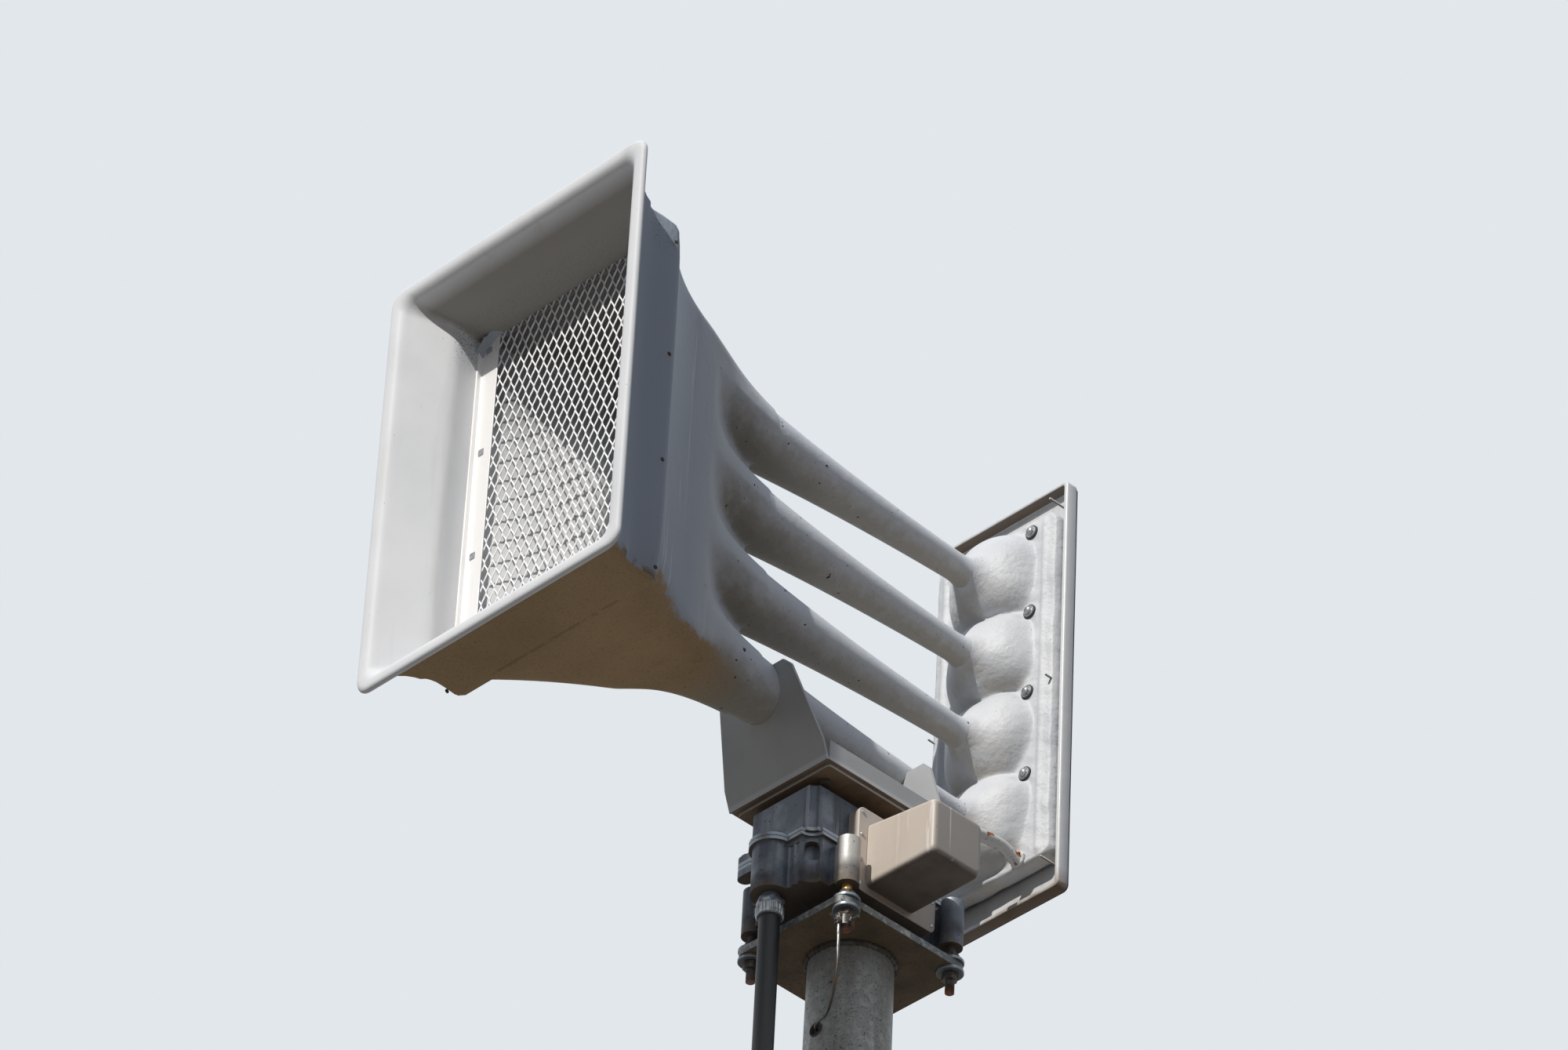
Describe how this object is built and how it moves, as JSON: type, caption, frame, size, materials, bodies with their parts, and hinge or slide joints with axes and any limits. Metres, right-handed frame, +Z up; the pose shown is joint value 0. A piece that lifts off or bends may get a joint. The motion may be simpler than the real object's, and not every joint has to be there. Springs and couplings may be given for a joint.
{
  "type": "civil defense siren tower",
  "caption": "Rotating warning siren with a rectangular horn, tapered tubes and a rear driver panel on a geared rotator, on a tall tapered steel pole.",
  "frame": {"origin": "centre of the base plate's underside, on the ground", "axes": "+Z up along the pole, -Y the way the horn faces at rest, +X to the right seen from behind the horn"},
  "size_m": [0.726, 1.396, 11.463],
  "materials": {
    "galvanised_pole": "dull mottled hot-dip galvanised steel",
    "galvanised_plate": "dull galvanised steel, dirty and lightly rusted",
    "rusty_fixing": "rusty zinc plated bolts, nuts and washers",
    "cast_aluminium": "weathered bare cast aluminium",
    "beige_paint": "chalky beige paint, dirty underneath",
    "white_gelcoat": "glossy white gelcoat",
    "grey_gelcoat": "weathered light grey gelcoat with dirt",
    "rough_gelcoat": "rough hand laid white fibreglass",
    "saddle_paint": "light grey painted steel",
    "bright_aluminium": "bright mill finish aluminium",
    "screen_metal": "expanded aluminium",
    "dark_gasket": "dark weathered rubber and sealant",
    "conduit_grey": "dark grey vinyl jacket",
    "zinc_fitting": "zinc plated fitting",
    "bare_wire": "weathered bare stranded wire"
  },
  "bodies": {
    "mast": {"base_plate": "galvanised_pole", "pole": "galvanised_pole", "handhole_cover": "galvanised_pole", "pole_top_plate": "galvanised_plate", "stud_1": "rusty_fixing", "stud_2": "rusty_fixing", "stud_3": "rusty_fixing", "stud_4": "rusty_fixing", "gearcase_lower": "cast_aluminium", "gearcase_upper": "cast_aluminium", "motor_flange": "beige_paint", "motor_cover": "beige_paint", "conduit_gland": "zinc_fitting", "conduit": "conduit_grey", "conduit_entry": "zinc_fitting", "strap_1": "zinc_fitting", "strap_2": "zinc_fitting", "strap_3": "zinc_fitting", "strap_4": "zinc_fitting", "strap_5": "zinc_fitting", "ground_clamp": "rusty_fixing", "ground_wire": "bare_wire"},
    "siren_head": {"turntable": "cast_aluminium", "saddle_base": "saddle_paint", "saddle_channel": "saddle_paint", "front_cradle": "saddle_paint", "rear_cradle": "saddle_paint", "saddle_bolts": "rusty_fixing", "horn_rim": "white_gelcoat", "horn_body": "grey_gelcoat", "screen_frame": "bright_aluminium", "screen_left": "screen_metal", "screen_right": "screen_metal", "tube_1": "grey_gelcoat", "tube_2": "grey_gelcoat", "tube_3": "grey_gelcoat", "tube_4": "grey_gelcoat", "driver_panel": "rough_gelcoat", "panel_bolts": "zinc_fitting", "rear_tray": "white_gelcoat", "rear_cover": "dark_gasket", "wire_pipe": "white_gelcoat"}
  },
  "joints": [
    {"name": "rotator", "type": "hinge", "parent": "mast", "child": "siren_head", "pos_m": [0, 0, 10.433], "axis": [0, 0, 1], "continuous": true}
  ]
}
